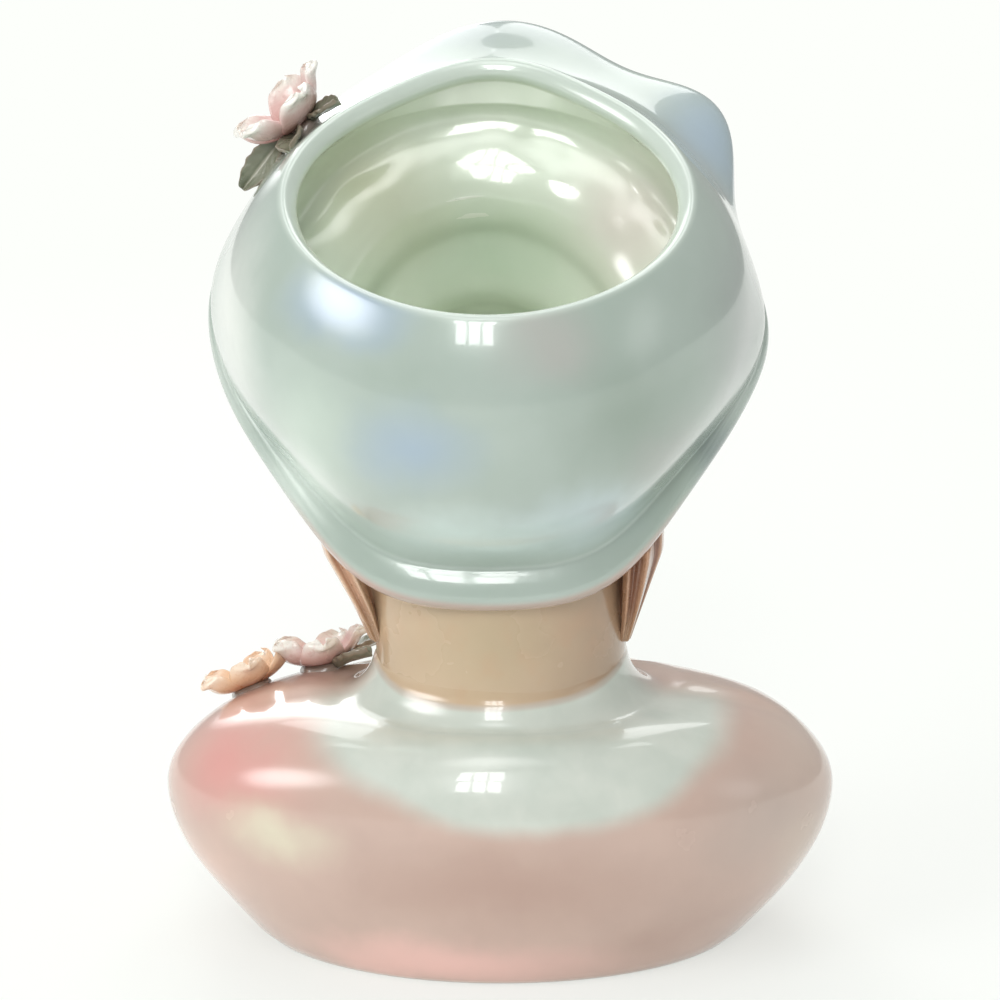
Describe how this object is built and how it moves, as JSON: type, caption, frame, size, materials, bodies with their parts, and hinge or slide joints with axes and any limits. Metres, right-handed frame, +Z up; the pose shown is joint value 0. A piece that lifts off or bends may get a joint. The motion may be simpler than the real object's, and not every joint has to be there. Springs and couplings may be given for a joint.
{
  "type": "head planter",
  "caption": "Glazed ceramic planter shaped as a lady's head and shoulders, with a tilted open-topped hat as the planting mouth and applied flowers.",
  "frame": {"origin": "centre of the flat foot, on the table plane", "axes": "+Z up, the face looks along -Y, +X to the figure's left"},
  "size_m": [0.1204, 0.0849, 0.1605],
  "materials": {
    "hat_glaze": "gloss",
    "skin_glaze": "gloss",
    "hair_glaze": "gloss",
    "dress_glaze": "gloss",
    "pink_petal": "gloss",
    "orange_petal": "gloss",
    "flower_centre": "gloss",
    "leaf_glaze": "gloss",
    "pad_glaze": "gloss"
  },
  "bodies": {
    "root": {"bust": "dress_glaze", "head": "skin_glaze", "hat_crown": "hat_glaze", "hat_brim": "hat_glaze", "hair_fringe": "hair_glaze", "hair_lock_left": "hair_glaze", "hair_lock_right": "hair_glaze", "hat_flower_pad": "pad_glaze", "hat_flower_centre": "flower_centre", "hat_flower_petal_1": "pink_petal", "hat_flower_petal_2": "pink_petal", "hat_flower_petal_3": "pink_petal", "hat_flower_petal_4": "pink_petal", "hat_flower_petal_5": "pink_petal", "pink_flower_pad": "pad_glaze", "pink_flower_centre": "flower_centre", "pink_flower_petal_1": "pink_petal", "pink_flower_petal_2": "pink_petal", "pink_flower_petal_3": "pink_petal", "pink_flower_petal_4": "pink_petal", "pink_flower_petal_5": "pink_petal", "orange_flower_pad": "pad_glaze", "orange_flower_centre": "flower_centre", "orange_flower_petal_1": "orange_petal", "orange_flower_petal_2": "orange_petal", "orange_flower_petal_3": "orange_petal", "orange_flower_petal_4": "orange_petal", "orange_flower_petal_5": "orange_petal", "hat_leaf_1": "leaf_glaze", "hat_leaf_2": "leaf_glaze", "hat_leaf_3": "leaf_glaze", "shoulder_leaf_1": "leaf_glaze", "shoulder_leaf_2": "leaf_glaze"}
  },
  "joints": []
}
